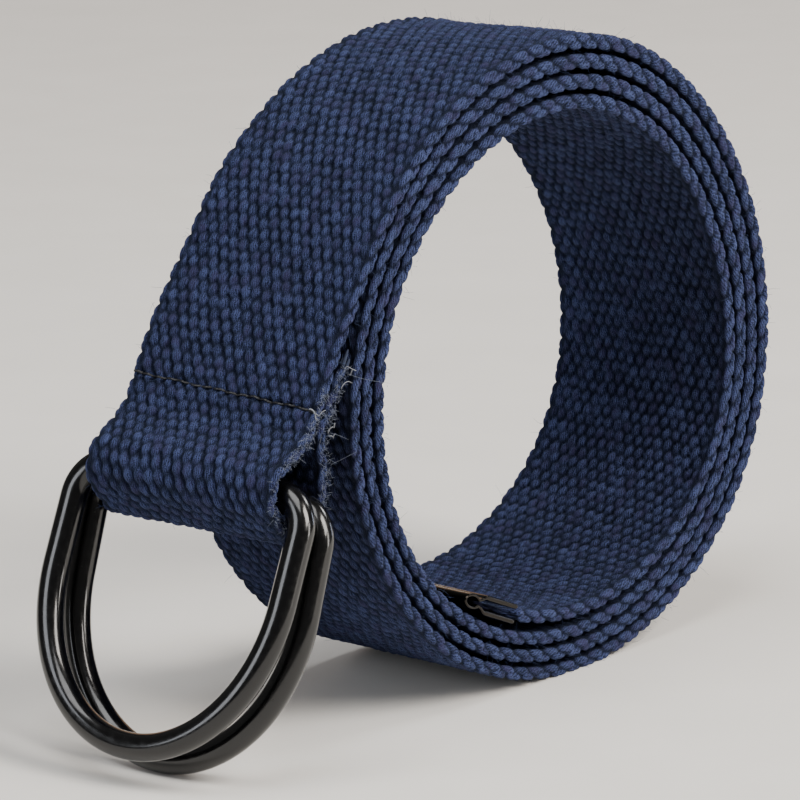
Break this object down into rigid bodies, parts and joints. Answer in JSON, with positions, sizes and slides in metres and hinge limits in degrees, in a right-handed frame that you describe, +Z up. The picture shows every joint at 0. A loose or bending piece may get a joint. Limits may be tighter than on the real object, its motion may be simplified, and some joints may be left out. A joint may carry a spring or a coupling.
{
  "type": "double ring belt",
  "caption": "Woven webbing belt wound into an upright roll, with D-shaped wire rings hanging in its stitched end loop and a folded metal tip on the inner end.",
  "frame": {"origin": "centre of the flattened foot under the roll, on the surface it stands on", "axes": "+Z up; +X along the belt's side view, away from the rings; +Y along the roll's axis, across the webbing"},
  "size_m": [0.1572, 0.0503, 0.112],
  "materials": {
    "webbing": "navy cotton webbing, coarse plain weave, matt",
    "ring_metal": "glossy black enamel over steel wire",
    "tip_metal": "polished dark nickel plate"
  },
  "bodies": {
    "strap": {"webbing_strap": "webbing", "belt_tip": "tip_metal"},
    "ring_front_body": {"ring_front": "ring_metal"},
    "ring_back_body": {"ring_back": "ring_metal"}
  },
  "joints": [
    {"name": "ring_front_swing", "type": "hinge", "parent": "strap", "child": "ring_front_body", "pos_m": [-0.08103, 0, 0.0475], "axis": [-0.0698, 0.9976, 0], "range_deg": [0, 165]},
    {"name": "ring_back_swing", "type": "hinge", "parent": "strap", "child": "ring_back_body", "pos_m": [-0.07662, 0, 0.04478], "axis": [-0.0698, 0.9976, 0], "range_deg": [-58, 0]}
  ]
}
